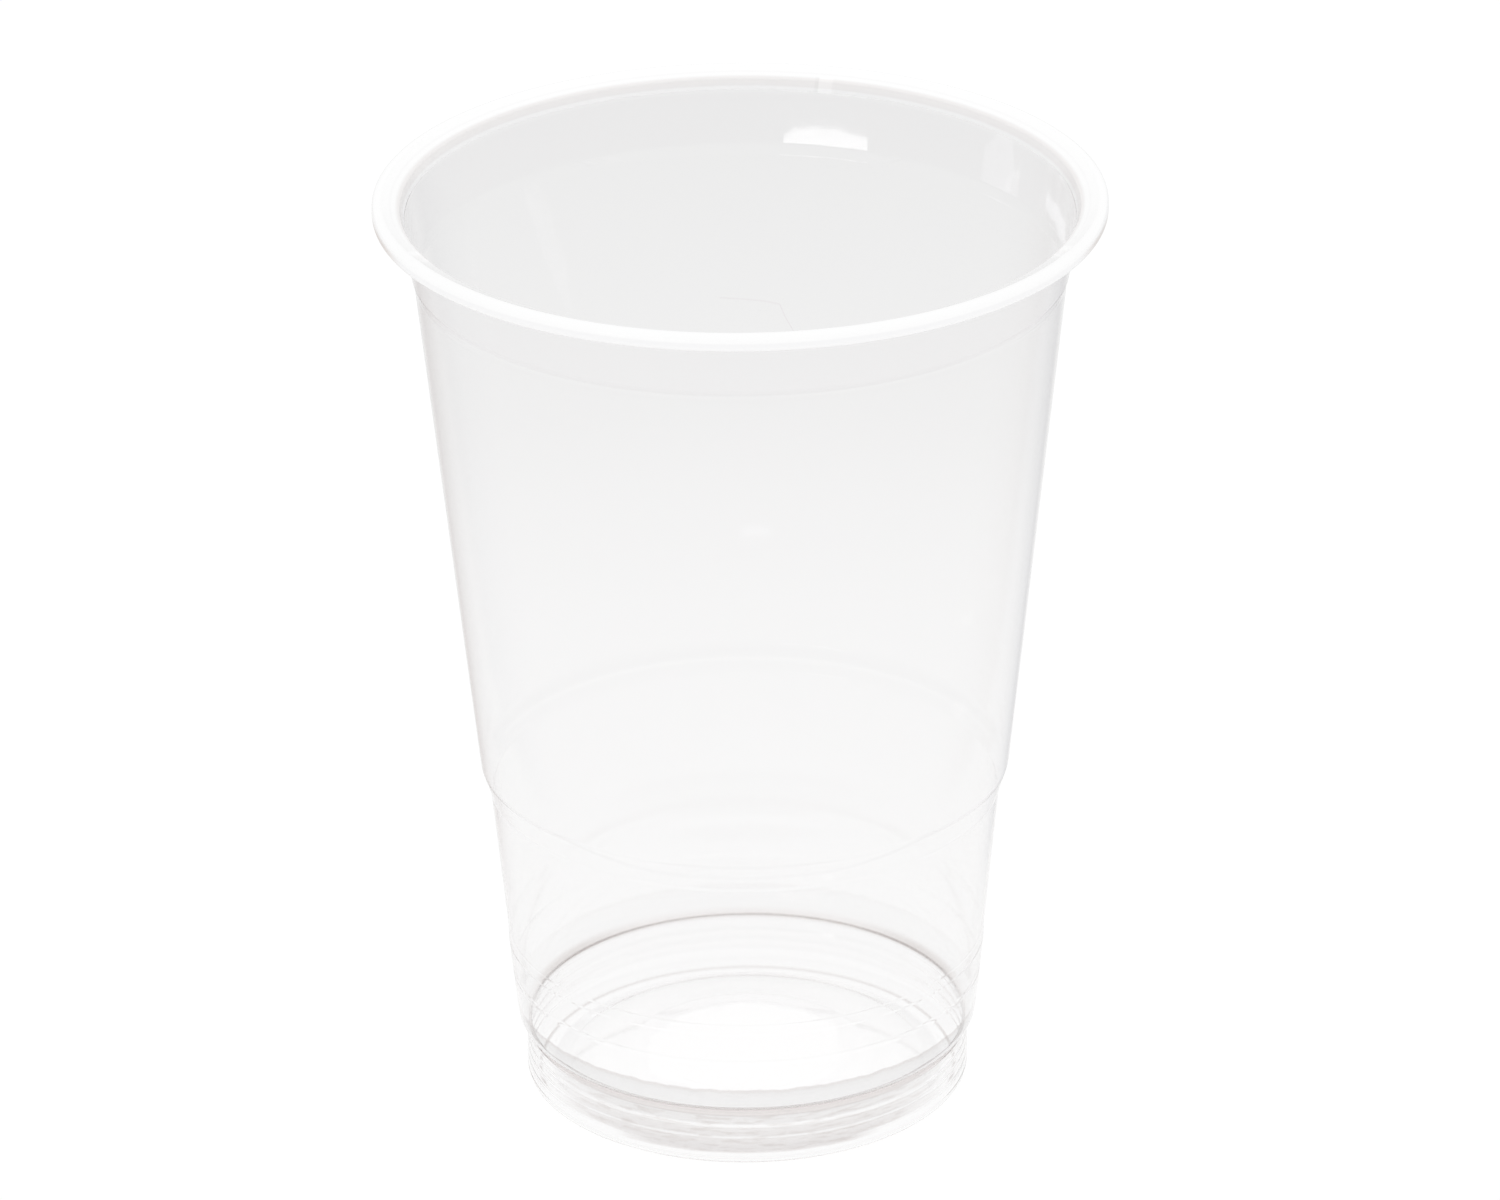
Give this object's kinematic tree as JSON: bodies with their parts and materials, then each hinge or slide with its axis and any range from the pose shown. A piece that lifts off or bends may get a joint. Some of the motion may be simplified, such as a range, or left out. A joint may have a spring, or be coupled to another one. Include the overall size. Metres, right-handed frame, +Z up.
{
  "type": "plastic tumbler cup",
  "caption": "Clear plastic drinking tumbler with a rolled rim, a tapered wall, a stacking step, a ribbed foot and a raised floor.",
  "frame": {"origin": "centre of the standing ring, on the surface that the cup stands on", "axes": "+Z up along the cup's axis, towards the mouth; the cup is turned, so X and Y are free, and the picture looks along +Y"},
  "size_m": [0.0951, 0.095, 0.1261],
  "materials": {
    "clear_plastic": "clear, glossy, thin sheet"
  },
  "bodies": {
    "root": {"cup": "clear_plastic"}
  },
  "joints": []
}
